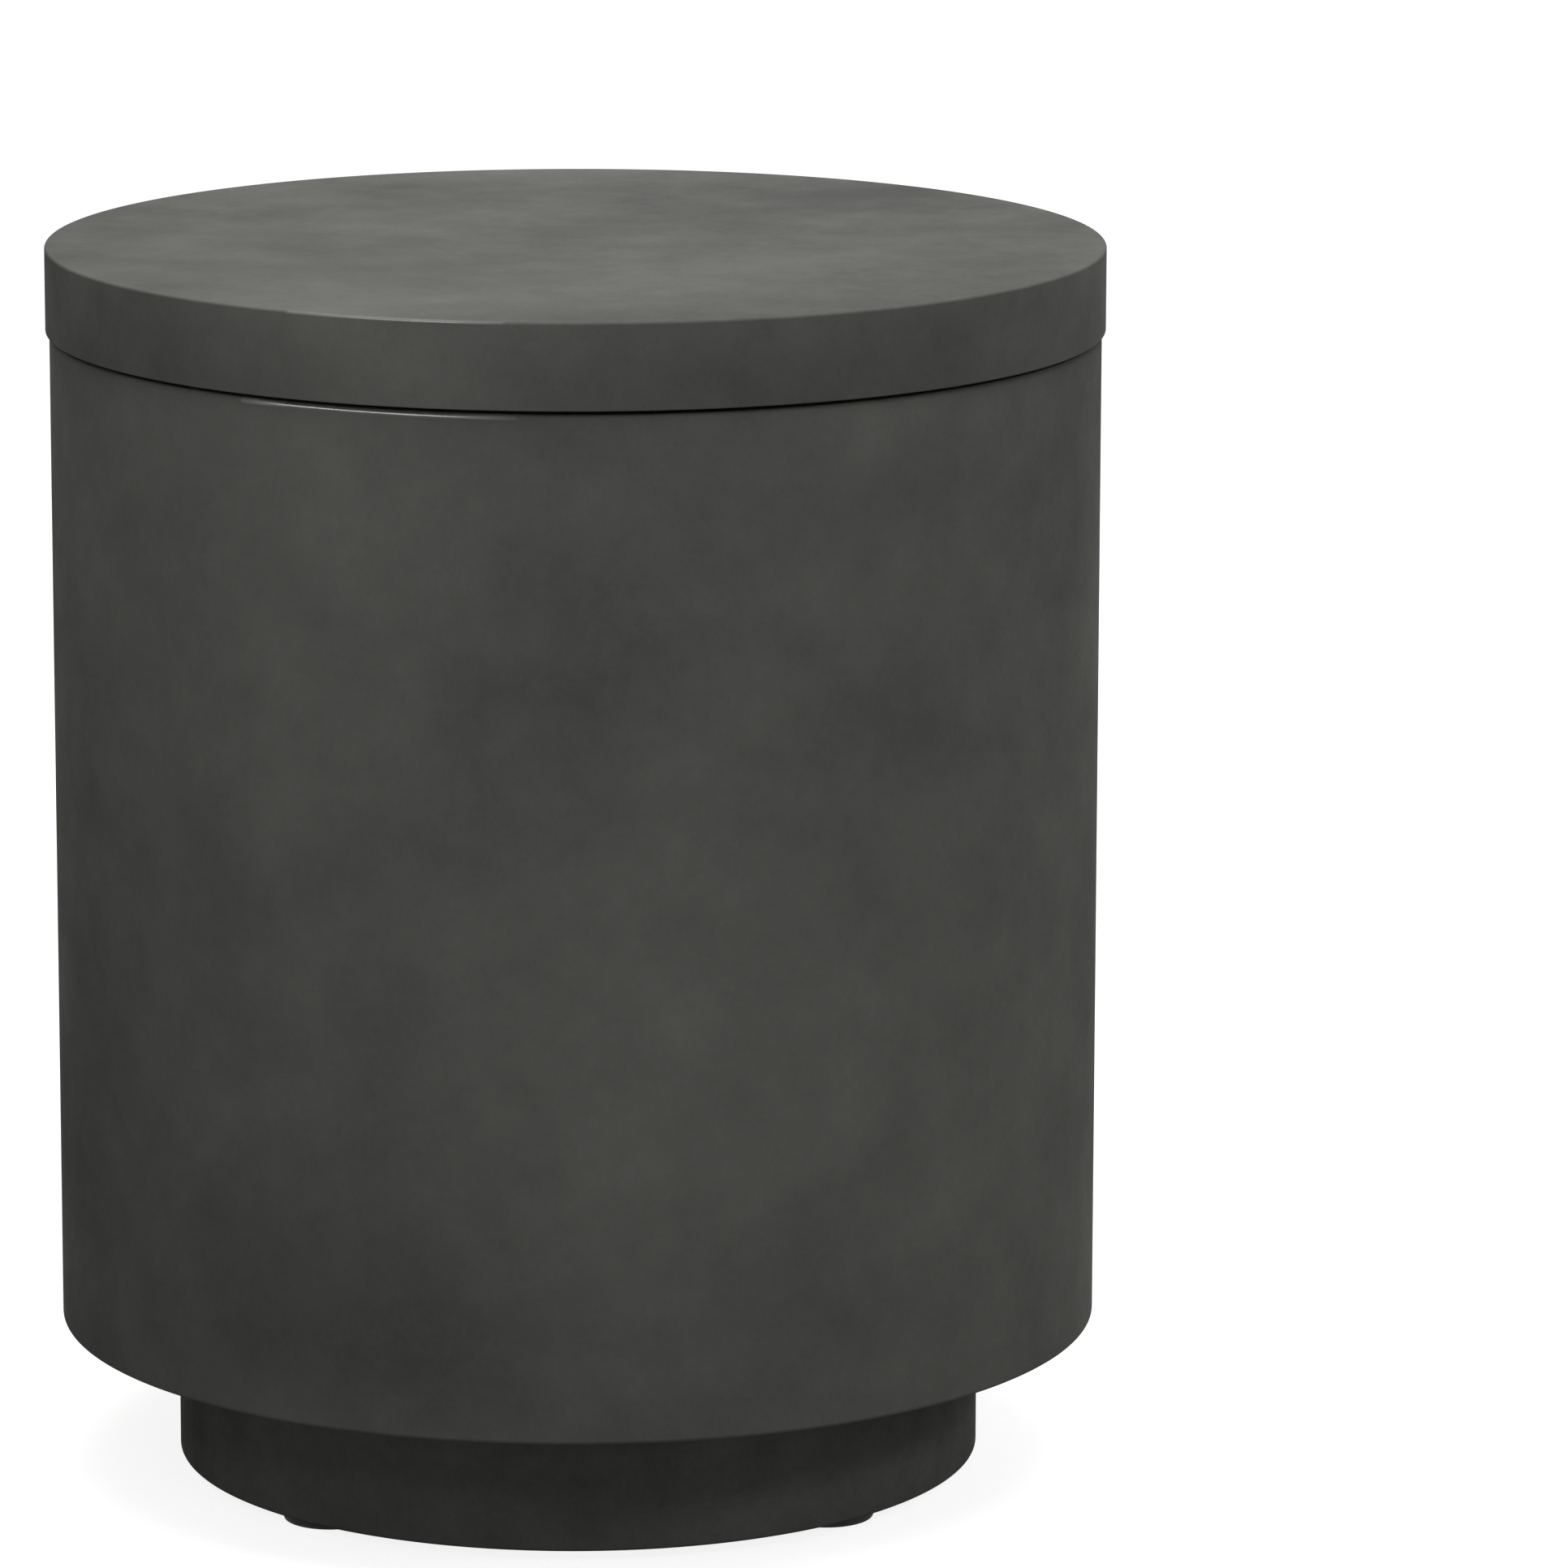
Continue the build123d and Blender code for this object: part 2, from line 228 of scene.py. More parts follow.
# How finely shapes are drawn, in millimetres and degrees. A quarter turn of radius r takes
# quarterSteps * sqrt(r / tolerance) steps to keep its facets within the tolerance
meshing = {"tolerance": 0.012, "quarterSteps": 0.56, "merge": 0.002, "crease": 32}


def startTree(name, sockets):
    tree = bpy.data.node_groups.new(name, "GeometryNodeTree")
    inputs = {}
    for label, kind in sockets:
        socket = tree.interface.new_socket(label, in_out="INPUT", socket_type="NodeSocket" + kind)
        inputs[label] = socket.identifier
    tree.interface.new_socket("Piece", in_out="OUTPUT", socket_type="NodeSocketGeometry")
    return tree, inputs, addNode(tree, "NodeGroupInput").outputs


def roundCorners(tree, outline, tolerance):  # a chain of edges becomes a curve with its corners rounded
    rounding = addNode(tree, "GeometryNodeInputNamedAttribute", {"Name": "rounding"}, data_type="FLOAT")
    share = addNode(tree, "ShaderNodeMath", {0: rounding.outputs[0], 1: tolerance}, operation="DIVIDE")
    root = addNode(tree, "ShaderNodeMath", {0: share.outputs[0]}, operation="SQRT")
    steps = addNode(tree, "ShaderNodeMath", {
        0: root.outputs[0], 1: meshing["quarterSteps"], 2: 1.0}, operation="MULTIPLY_ADD")
    line = addNode(tree, "GeometryNodeMeshToCurve", {"Mesh": outline})
    rounded = addNode(tree, "GeometryNodeFilletCurve", {
        "Curve": line.outputs[0], "Count": steps.outputs[0], "Radius": rounding.outputs[0],
        "Limit Radius": True}, mode="POLY")
    return rounded.outputs[0]


def finishTree(tree, geometry, material):
    real = addNode(tree, "GeometryNodeRealizeInstances", {"Geometry": geometry})
    finished = addNode(tree, "GeometryNodeSetMaterial", {"Geometry": real.outputs[0], "Material": material})
    addNode(tree, "NodeGroupOutput", {0: finished.outputs[0]})


def buildTurningTree():  # an outline is rounded, turned about Z, stood in place and repeated round Z
    tree, inputs, given = startTree("turning", (
        ("Outline", "Geometry"), ("Segments", "Int"), ("Tolerance", "Float"), ("Tilt", "Float"),
        ("Stand", "Vector"), ("Count", "Int"), ("First Angle", "Float"), ("Step Angle", "Float"),
        ("Material", "Material")))
    rounded = roundCorners(tree, given["Outline"], given["Tolerance"])
    size = addNode(tree, "GeometryNodeAttributeDomainSize", {"Geometry": rounded}, component="CURVE")
    rows = size.outputs["Point Count"]
    columns = addNode(tree, "FunctionNodeIntegerMath", {0: given["Segments"], 1: 1}, operation="ADD")
    grid = addNode(tree, "GeometryNodeMeshGrid", {"Vertices X": columns.outputs[0], "Vertices Y": rows})
    index = addNode(tree, "GeometryNodeInputIndex").outputs[0]
    column = addNode(tree, "FunctionNodeIntegerMath", {0: index, 1: rows}, operation="DIVIDE_FLOOR")
    row = addNode(tree, "FunctionNodeIntegerMath", {0: index, 1: rows}, operation="MODULO")
    turned = addNode(tree, "ShaderNodeMath", {0: column.outputs[0], 1: given["Segments"]}, operation="DIVIDE")
    angle = addNode(tree, "ShaderNodeMath", {0: turned.outputs[0], 1: math.tau}, operation="MULTIPLY")
    point = addNode(tree, "GeometryNodeSampleIndex", {
        "Geometry": rounded, "Value": addNode(tree, "GeometryNodeInputPosition").outputs[0],
        "Index": row.outputs[0]}, data_type="FLOAT_VECTOR", domain="POINT")
    swept = addNode(tree, "ShaderNodeVectorRotate", {
        "Vector": point.outputs[0], "Angle": angle.outputs[0]}, rotation_type="Z_AXIS")
    skin = addNode(tree, "GeometryNodeSetPosition", {
        "Geometry": grid.outputs[0], "Position": swept.outputs[0]})
    closed = addNode(tree, "GeometryNodeMergeByDistance", {
        "Geometry": skin.outputs[0], "Distance": meshing["merge"] * mm})
    bend = addNode(tree, "GeometryNodeInputMeshEdgeAngle")
    crease = addNode(tree, "FunctionNodeCompare", {
        0: bend.outputs[0], 1: math.radians(meshing["crease"])}, data_type="FLOAT", operation="GREATER_THAN")
    creased = addNode(tree, "GeometryNodeStoreNamedAttribute", {
        "Geometry": closed.outputs[0], "Name": "sharp_edge", "Value": crease.outputs[0]},
        data_type="BOOLEAN", domain="EDGE")
    smooth = addNode(tree, "GeometryNodeSetShadeSmooth", {"Geometry": creased.outputs[0]})
    lean = addNode(tree, "ShaderNodeCombineXYZ", {1: given["Tilt"]})
    stood = addNode(tree, "GeometryNodeTransform", {
        "Geometry": smooth.outputs[0], "Translation": given["Stand"], "Rotation": lean.outputs[0]})
    stations = addNode(tree, "GeometryNodePoints", {"Count": given["Count"]})
    swing = addNode(tree, "ShaderNodeMath", {
        0: index, 1: given["Step Angle"], 2: given["First Angle"]}, operation="MULTIPLY_ADD")
    bearing = addNode(tree, "ShaderNodeCombineXYZ", {2: swing.outputs[0]})
    copies = addNode(tree, "GeometryNodeInstanceOnPoints", {
        "Points": stations.outputs[0], "Instance": stood.outputs[0], "Rotation": bearing.outputs[0]})
    finishTree(tree, copies.outputs[0], given["Material"])
    return tree, inputs


def buildWireTree():  # a line's corners are bent to their radius and a round wire follows it
    tree, inputs, given = startTree("bentWire", (
        ("Line", "Geometry"), ("Wire Radius", "Float"), ("Sides", "Int"), ("Tolerance", "Float"),
        ("Material", "Material")))
    bent = roundCorners(tree, given["Line"], given["Tolerance"])
    section = addNode(tree, "GeometryNodeCurvePrimitiveCircle", {
        "Resolution": given["Sides"], "Radius": given["Wire Radius"]}, mode="RADIUS")
    wire = addNode(tree, "GeometryNodeCurveToMesh", {
        "Curve": bent, "Profile Curve": section.outputs[0], "Fill Caps": True})
    closed = addNode(tree, "GeometryNodeMergeByDistance", {
        "Geometry": wire.outputs[0], "Distance": meshing["merge"] * mm})
    smooth = addNode(tree, "GeometryNodeSetShadeSmooth", {"Geometry": closed.outputs[0]})
    finishTree(tree, smooth.outputs[0], given["Material"])
    return tree, inputs


turningTree, turningInputs = buildTurningTree()
wireTree, wireInputs = buildWireTree()
print("node trees built")


def linkNew(name, data):
    piece = bpy.data.objects.new(name, data)
    bpy.context.scene.collection.objects.link(piece)
    return piece


def drawLine(name, points, roundings):  # a chain of corners, each with the radius that rounds it
    mesh = bpy.data.meshes.new(name)
    edges = [(i, i + 1) for i in range(len(points) - 1)]
    mesh.from_pydata([Vector(point) * mm for point in points], edges, [])
    attribute = mesh.attributes.new("rounding", "FLOAT", "POINT")
    attribute.data.foreach_set("value", [radius * mm for radius in roundings])
    return linkNew(name, mesh)


def runTree(piece, tree, inputs, values):  # sets the tree's inputs, then keeps its result as a plain mesh
    modifier = piece.modifiers.new("shape", "NODES")
    modifier.node_group = tree
    for name, value in values.items():
        modifier[inputs[name]] = value
    bpy.context.view_layer.update()
    evaluated = piece.evaluated_get(bpy.context.evaluated_depsgraph_get())
    shaped = bpy.data.meshes.new_from_object(evaluated)
    if shaped.materials[0] is None:  # the tree leaves an empty slot before the material that it sets
        shaped.materials.pop(index=0)
    piece.modifiers.remove(modifier)
    piece.data = shaped
    shaped.name = piece.name
    return piece


def turn(name, material, corners, segments, stand=(0, 0, 0), tilt=0.0, count=1, first=0.0, step=0.0):
    # corners are (radius, height) or (radius, height, rounding), with a solid on the left of the line
    points = [(corner[0], 0, corner[1]) for corner in corners]
    roundings = [corner[2] if len(corner) > 2 else 0.0 for corner in corners]
    return runTree(drawLine(name, points, roundings), turningTree, turningInputs, {
        "Segments": segments, "Tolerance": meshing["tolerance"] * mm, "Tilt": math.radians(tilt),
        "Stand": tuple(Vector(stand) * mm), "Count": count, "First Angle": math.radians(first),
        "Step Angle": math.radians(step), "Material": material})


def inQuarters(radius):  # one copy in the middle of each quarter, at this radius
    return {"stand": (radius, 0, 0), "count": 4, "first": 45, "step": 90}


def keepMesh(name, mesh, material):  # makes a smooth piece with creases at its sharp bends
    bmesh.ops.recalc_face_normals(mesh, faces=mesh.faces)
    for face in mesh.faces:
        face.smooth = True
    for edge in mesh.edges:
        edge.smooth = edge.calc_face_angle(0) < math.radians(meshing["crease"])
    data = bpy.data.meshes.new(name)
    mesh.to_mesh(data)
    mesh.free()
    data.materials.append(material)
    return linkNew(name, data)


def settle(piece, body, slot, *nodes):
    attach(piece, body)
    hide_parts(*nodes)
    print(f"{piece.name}: {len(piece.data.polygons)} faces on {body}")


def boxMm(node):
    low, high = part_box(node)
    return low / mm, high / mm


def bevelled(piece, width, segments, fromDegrees):
    bevel = piece.modifiers.new("softEdges", "BEVEL")
    bevel.width = width * mm
    bevel.segments = segments
    bevel.limit_method = "ANGLE"
    bevel.angle_limit = math.radians(fromDegrees)
    bevel.harden_normals = False


def thickened(piece, thickness):
    sheet = piece.modifiers.new("sheet", "SOLIDIFY")
    sheet.thickness = thickness * mm
    sheet.offset = 0.0
    sheet.use_even_offset = True


def polishEdge(piece, material, grip, radius, height, size):  # an outer rounding is rubbed at the grip
    piece.data.materials.append(material)
    for face in piece.data.polygons:
        spot = face.center / mm
        onEdge = spot.xy.length > radius - size and abs(spot.z - height) < size
        if onEdge and grip[0] < math.degrees(math.atan2(spot.x, -spot.y)) < grip[-1]:
            face.material_index = 1


# Cast body: a drum with a thick floor, a rounded rim and a shoulder that the bucket hangs on.
# Its grip, where hands lift the lid, is in degrees round from the front: start, fully rubbed from and to, end
castBody = {
    "wall": 20, "floor": 20, "shoulderWidth": 12, "shoulderDepth": 16, "shoulderDrop": 28.2,
    "rimRound": 2, "bottomRound": 1.5, "floorRound": 12, "innerRound": 1, "segments": 288,
    "tones": ("#464644", "#5d5d5a"),
    "cloudStart": (17.94, 19.845, 2.943), "patchStart": (2.899, 2.65, 17.854),
    "grip": (-37, -31, -14, -6.5),
}
bodyLow, bodyHigh = boxMm("table_body")
bodyRadius, bodyBottom, rimTop = bodyHigh.x, bodyLow.z, bodyHigh.z
bore = bodyRadius - castBody["wall"]
floorTop = bodyBottom + castBody["floor"]
shoulderTop = rimTop - castBody["shoulderDrop"]
shoulderBottom = shoulderTop - castBody["shoulderDepth"]
shoulder = bore - castBody["shoulderWidth"]
body = turn("castBody", makeConcrete("bodyFibreConcrete", castBody), [
    (0, bodyBottom),
    (bodyRadius, bodyBottom, castBody["bottomRound"]),
    (bodyRadius, rimTop, castBody["rimRound"]),
    (bore, rimTop, castBody["rimRound"]),
    (bore, shoulderTop, castBody["innerRound"]),
    (shoulder, shoulderTop, castBody["rimRound"]),
    (shoulder, shoulderBottom, castBody["innerRound"]),
    (bore, shoulderBottom - castBody["shoulderWidth"], castBody["innerRound"]),
    (bore, floorTop, castBody["floorRound"]),
    (0, floorTop),
], castBody["segments"])
bodyRimConcrete = makeConcrete("bodyRimConcrete", castBody, rubbed=True)
polishEdge(body, bodyRimConcrete, castBody["grip"], bodyRadius, rimTop, castBody["rimRound"])
settle(body, "table", "cast_concrete", "table_body")

# Cast lid: a plate with a deep edge, hollow below, and a ring that keeps it centred in the bore
castLid = {
    "plate": 16, "edgeRound": 1, "lowerEdgeRound": 0.4, "hollowRound": 8, "ringWidth": 10,
    "ringClearance": 2.5, "segments": 288,
    "tones": ("#464644", "#5d5d5a"),
    "cloudStart": (6.779, 14.897, 3.204), "patchStart": (19.658, 0.443, 10.697),
    "grip": (-31, -14.5, -13.5, -8),
}
lidLow, lidHigh = boxMm("lid")
lidRadius, ringBottom, lidTop = lidHigh.x, lidLow.z, lidHigh.z
bumperLow, bumperHigh = boxMm("lid_bumper_1")
lidBottom = bumperHigh.z
plateBottom = lidTop - castLid["plate"]
ringOuter = bore - castLid["ringClearance"]
ringInner = ringOuter - castLid["ringWidth"]
lid = turn("castLid", makeConcrete("lidFibreConcrete", castLid), [
    (0, plateBottom),
    (ringInner, plateBottom, castLid["hollowRound"]),
    (ringInner, ringBottom, castLid["edgeRound"]),
    (ringOuter, ringBottom, castLid["edgeRound"]),
    (ringOuter, lidBottom, castLid["edgeRound"]),
    (lidRadius, lidBottom, castLid["lowerEdgeRound"]),
    (lidRadius, lidTop, castLid["edgeRound"]),
    (0, lidTop),
], castLid["segments"])
lidEdgeConcrete = makeConcrete("lidEdgeConcrete", castLid, rubbed=True)
polishEdge(lid, lidEdgeConcrete, castLid["grip"], lidRadius, lidTop, castLid["edgeRound"])
settle(lid, "lid", "cast_concrete", "lid")

# Rubber bumpers under the lid, which hold it off the rim
lidBumpers = {"edgeRound": 0.4, "segments": 40}
bumperMiddle = (bumperLow + bumperHigh) / 2
bumperRadius = (bumperHigh.x - bumperLow.x) / 2
bumpers = turn("lidBumpers", mouldedRubber, [
    (0, bumperLow.z),
    (bumperRadius, bumperLow.z, lidBumpers["edgeRound"]),
    (bumperRadius, bumperHigh.z),
    (0, bumperHigh.z),
], lidBumpers["segments"], **inQuarters(bumperMiddle.xy.length))
settle(bumpers, "lid", "bumper_rubber", "lid_bumper_1", "lid_bumper_2", "lid_bumper_3", "lid_bumper_4")

# Plinth: a cast ring set back under the body, with four bosses blended into its wall
plinthRing = {
    "wall": 18, "edgeRound": 1.5, "bossCircle": 132, "bossRadius": 20, "bossBlend": 8, "bosses": 4,
    "arcStep": 3.0, "leastSteps": 4, "roundSteps": 5,
    "tones": ("#40403e", "#61615f"),
    "cloudStart": (8.155, 0.049, 17.853), "patchStart": (1.253, 6.027, 6.581),
}
plinthLow, plinthHigh = boxMm("plinth")


def plinthHollow(outer):  # outline of the hollow: blend, boss, blend, then wall to the next boss
    inner = outer - plinthRing["wall"]
    circle, boss, blend = plinthRing["bossCircle"], plinthRing["bossRadius"], plinthRing["bossBlend"]
    blendCircle, blendReach = inner - blend, boss + blend
    spread = math.acos((blendCircle**2 + circle**2 - blendReach**2) / (2 * blendCircle * circle))
    pitch = math.tau / plinthRing["bosses"]
    blendSpot = Vector((blendCircle * math.cos(spread), blendCircle * math.sin(spread)))
    toBoss = math.atan2(-blendSpot.y, circle - blendSpot.x)
    reach = math.pi + toBoss
    points = []
    for number in range(plinthRing["bosses"]):
        heading = (number + 0.5) * pitch
        arcs = (  # centre along the heading and beside it, radius, first and last angle
            (blendSpot.x, -blendSpot.y, blend, -spread, -toBoss),
            (circle, 0, boss, math.tau - reach, reach),
            (blendSpot.x, blendSpot.y, blend, toBoss, spread),
            (0, 0, inner, spread, pitch - spread),
        )
        for along, beside, radius, start, end in arcs:
            count = max(plinthRing["leastSteps"], round(abs(end - start) * radius / plinthRing["arcStep"]))
            for i in range(count):
                angle = start + (end - start) * i / count
                spot = Vector((along + radius * math.cos(angle), beside + radius * math.sin(angle)))
                points.append(Matrix.Rotation(heading, 2) @ spot)
    return points


def makePlinth():  # rings of points from the hollow's top, down the outer wall and back to the hollow's foot
    outer, bottom, top = plinthHigh.x, plinthLow.z, plinthHigh.z
    rounding, roundSteps = plinthRing["edgeRound"], plinthRing["roundSteps"]
    hollow = plinthHollow(outer)
    outerRings = [(outer, top)]
    for i in range(roundSteps + 1):
        edgeTurn = math.pi / 2 * i / roundSteps
        inset, drop = rounding * (1 - math.cos(edgeTurn)), rounding * (1 - math.sin(edgeTurn))
        outerRings.append((outer - inset, bottom + drop))
    mesh = bmesh.new()
    rings = [[mesh.verts.new((spot.x * mm, spot.y * mm, top * mm)) for spot in hollow]]
    for radius, height in outerRings:
        spots = [spot.normalized() * radius for spot in hollow]
        rings.append([mesh.verts.new((spot.x * mm, spot.y * mm, height * mm)) for spot in spots])
    rings.append([mesh.verts.new((spot.x * mm, spot.y * mm, bottom * mm)) for spot in hollow])
    count = len(hollow)
    for ring, following in zip(rings, rings[1:] + rings[:1]):
        for i in range(count):
            j = (i + 1) % count
            mesh.faces.new((ring[i], following[i], following[j], ring[j]))
    return keepMesh("plinthRing", mesh, makeConcrete("plinthFibreConcrete", plinthRing))


settle(makePlinth(), "table", "plinth_concrete", "plinth")

# Rubber feet: a pad with a rounded tread edge, two shallow grip grooves and a seat for its screw head
rubberFeet = {
    "round": 1.2, "screwHole": 3, "headSeat": 4.9, "seatTop": 2.85, "seatBottom": 0.55,
    "grooves": (9, 13), "grooveWidth": 1.6, "grooveDepth": 0.7, "grooveRound": 0.3, "segments": 72,
}
footLow, footHigh = boxMm("foot_rear_right")
footMiddle = (footLow + footHigh) / 2
footRadius = (footHigh.x - footLow.x) / 2
atFeet = inQuarters(footMiddle.xy.length)
footCorners = [
    (rubberFeet["screwHole"], footHigh.z),
    (rubberFeet["screwHole"], rubberFeet["seatTop"]),
    (rubberFeet["headSeat"], rubberFeet["seatBottom"]),
    (rubberFeet["headSeat"], footLow.z),
]
grooveTop = footLow.z + rubberFeet["grooveDepth"]
for groove in rubberFeet["grooves"]:
    nearSide = groove - rubberFeet["grooveWidth"] / 2
    farSide = groove + rubberFeet["grooveWidth"] / 2
    footCorners += [
        (nearSide, footLow.z, rubberFeet["grooveRound"]),
        (nearSide, grooveTop, rubberFeet["grooveRound"]),
        (farSide, grooveTop, rubberFeet["grooveRound"]),
        (farSide, footLow.z, rubberFeet["grooveRound"]),
    ]
footCorners += [
    (footRadius, footLow.z, rubberFeet["round"]),
    (footRadius, footHigh.z),
    (rubberFeet["screwHole"], footHigh.z),
]
feet = turn("rubberFeet", mouldedRubber, footCorners, rubberFeet["segments"], **atFeet)
settle(
    feet, "table", "foot_rubber",
    "foot_rear_right", "foot_rear_left", "foot_front_left", "foot_front_right")

# Foot screws: flat heads let into the rubber, with a plain drive socket
footScrews = {
    "head": 4.8, "headTop": 2.85, "headBottom": 0.55, "shank": 2.5, "tip": 30, "point": 2.5,
    "socket": 1.7, "socketDepth": 1.3, "headRound": 0.25, "segments": 48,
}
screws = turn("footScrews", zincPlate, [
    (0, footScrews["headBottom"] + footScrews["socketDepth"]),
    (footScrews["socket"], footScrews["headBottom"] + footScrews["socketDepth"]),
    (footScrews["socket"], footScrews["headBottom"], footScrews["headRound"]),
    (footScrews["head"], footScrews["headBottom"], footScrews["headRound"]),
    (footScrews["shank"], footScrews["headTop"]),
    (footScrews["shank"], footScrews["tip"]),
    (0, footScrews["tip"] + footScrews["point"]),
], footScrews["segments"], **atFeet)
settle(screws, "table", "zinc_steel", "foot_screws")

# Plinth bolts: hexagon heads on wide washers, on the floor of the body and in line with the feet
plinthBolts = {
    "flats": 13, "headHeight": 5.3, "crownRound": 0.9, "shank": 4, "tip": 42, "washer": 2, "sides": 6,
}
headBottom = floorTop + plinthBolts["washer"]
headTop = headBottom + plinthBolts["headHeight"]
headCorner = plinthBolts["flats"] / 2 / math.cos(math.pi / plinthBolts["sides"])
bolts = turn("plinthBolts", zincPlate, [
    (0, plinthBolts["tip"]),
    (plinthBolts["shank"], plinthBolts["tip"]),
    (plinthBolts["shank"], headBottom),
    (headCorner, headBottom),
    (headCorner, headTop, plinthBolts["crownRound"]),
    (0, headTop),
], plinthBolts["sides"], **atFeet)
settle(bolts, "table", "zinc_steel", "plinth_bolts")

boltWashers = {"radius": 11, "bore": 4.5, "edgeRound": 0.4, "segments": 56}
washers = turn("boltWashers", zincPlate, [
    (boltWashers["bore"], floorTop),
    (boltWashers["radius"], floorTop),
    (boltWashers["radius"], headBottom, boltWashers["edgeRound"]),
    (boltWashers["bore"], headBottom),
    (boltWashers["bore"], floorTop),
], boltWashers["segments"], **atFeet)
settle(washers, "table", "zinc_steel", "plinth_washers")

# Bucket wall: spun sheet with a rolled rim on a flange and two swaged beads
bucketWall = {
    "sheet": 1.0, "middle": 160.5, "beadWidth": 12, "beadPeak": 4, "beadCrownRound": 9.9, "beadFootRound": 2,
    "lowerBead": 236, "upperBead": 348.3, "flangeBend": 3, "curl": 172.5, "curlRadius": 2, "segments": 256,
}
wallBottom = boxMm("bucket_wall")[0].z
wallMiddle, curlRadius = bucketWall["middle"], bucketWall["curlRadius"]
halfBead = bucketWall["beadWidth"] / 2
flange = shoulderTop + bucketWall["sheet"] / 2
wallCorners = [(wallMiddle, wallBottom)]
for bead in (bucketWall["lowerBead"], bucketWall["upperBead"]):
    wallCorners += [
        (wallMiddle, bead - halfBead, bucketWall["beadFootRound"]),
        (wallMiddle + bucketWall["beadPeak"], bead, bucketWall["beadCrownRound"]),
        (wallMiddle, bead + halfBead, bucketWall["beadFootRound"]),
    ]
wallCorners += [
    (wallMiddle, flange, bucketWall["flangeBend"]),
    (bucketWall["curl"] + curlRadius, flange, curlRadius),
    (bucketWall["curl"] + curlRadius, flange + 2 * curlRadius, curlRadius),
    (bucketWall["curl"] - curlRadius, flange + 2 * curlRadius, curlRadius),
    (bucketWall["curl"] - curlRadius, flange + curlRadius),
]
wall = turn("bucketWall", spunStainless, wallCorners, bucketWall["segments"])
thickened(wall, bucketWall["sheet"])
settle(wall, "bucket", "bucket_steel", "bucket_wall")

# Bucket base: a pressed pan with a raised middle, let into the wall with its rim down
bucketBase = {
    "sheet": 1.0, "rim": 158.9, "level": 202, "panel": 105, "panelRise": 3, "panelSlope": 6,
    "panelRound": 8, "bend": 4, "segments": 224,
}
baseRim = bucketBase["rim"] + bucketBase["sheet"] / 2
base = turn("bucketBase", spunStainless, [
    (baseRim, wallBottom),
    (baseRim, bucketBase["level"], bucketBase["bend"]),
    (bucketBase["panel"] + bucketBase["panelSlope"], bucketBase["level"], bucketBase["panelRound"]),
    (bucketBase["panel"], bucketBase["level"] + bucketBase["panelRise"], bucketBase["panelRound"]),
    (0, bucketBase["level"] + bucketBase["panelRise"]),
], bucketBase["segments"])
thickened(base, bucketBase["sheet"])
settle(base, "bucket", "bucket_steel", "bucket_base")

# Ears: pressed plates curved to the wall, with an eye for the bail and rounded feet for the rivets
pivotEars = {
    "radius": 158.9, "thickness": 2.0, "halfFoot": 17, "footRound": 7, "eyeRound": 8,
    "bottom": 388.3, "top": 426, "pivot": 418, "eyeHole": 2.8, "arcSteps": 10, "edgeSteps": 8, "rings": 8,
    "edgeBevel": 0.35, "bevelSteps": 2, "bevelFromDegrees": 50,
}


def earOutline():  # rounded plate outline as (across, height), anticlockwise from the right of its foot
    foot, eye = pivotEars["halfFoot"], pivotEars["eyeRound"]
    arcSteps, edgeSteps = pivotEars["arcSteps"], pivotEars["edgeSteps"]
    corners = [
        (Vector((foot, pivotEars["bottom"])), pivotEars["footRound"]),
        (Vector((eye, pivotEars["top"])), eye),
        (Vector((-eye, pivotEars["top"])), eye),
        (Vector((-foot, pivotEars["bottom"])), pivotEars["footRound"]),
    ]
    arcs = []
    for i, (corner, radius) in enumerate(corners):
        before = (corners[i - 1][0] - corner).normalized()
        after = (corners[(i + 1) % len(corners)][0] - corner).normalized()
        half = before.angle(after) / 2
        centre = corner + (before + after).normalized() * radius / math.sin(half)
        start = corner + before * radius / math.tan(half) - centre
        turns = [(math.pi - 2 * half) * step / arcSteps for step in range(arcSteps + 1)]
        arcs.append([centre + Matrix.Rotation(angle, 2) @ start for angle in turns])
    points = []
    for arc, following in zip(arcs, arcs[1:] + arcs[:1]):
        points += arc
        points += [arc[-1].lerp(following[0], step / edgeSteps) for step in range(1, edgeSteps)]
    return points


def makeEars():  # rings of points spread from the eye to the outline, on both sides of the bucket
    pivot = Vector((0, pivotEars["pivot"]))
    outline = earOutline()
    mesh = bmesh.new()
    for side in (1, -1):
        rings = []
        for ring in range(pivotEars["rings"] + 1):
            share = ring / pivotEars["rings"]
            verts = []
            for spot in outline:
                hole = pivot + (spot - pivot).normalized() * pivotEars["eyeHole"]
                across, height = hole.lerp(spot, share)
                depth = math.sqrt(pivotEars["radius"]**2 - across**2)
                verts.append(mesh.verts.new((side * depth * mm, side * across * mm, height * mm)))
            rings.append(verts)
        for inner, outer in zip(rings, rings[1:]):
            for i in range(len(outline)):
                j = (i + 1) % len(outline)
                mesh.faces.new((inner[i], outer[i], outer[j], inner[j]))
    return keepMesh("pivotEars", mesh, pressedStainless)


ears = makeEars()
thickened(ears, pivotEars["thickness"])
bevelled(ears, pivotEars["edgeBevel"], pivotEars["bevelSteps"], pivotEars["bevelFromDegrees"])
settle(ears, "bucket", "ear_steel", "bucket_ear_right", "bucket_ear_left")

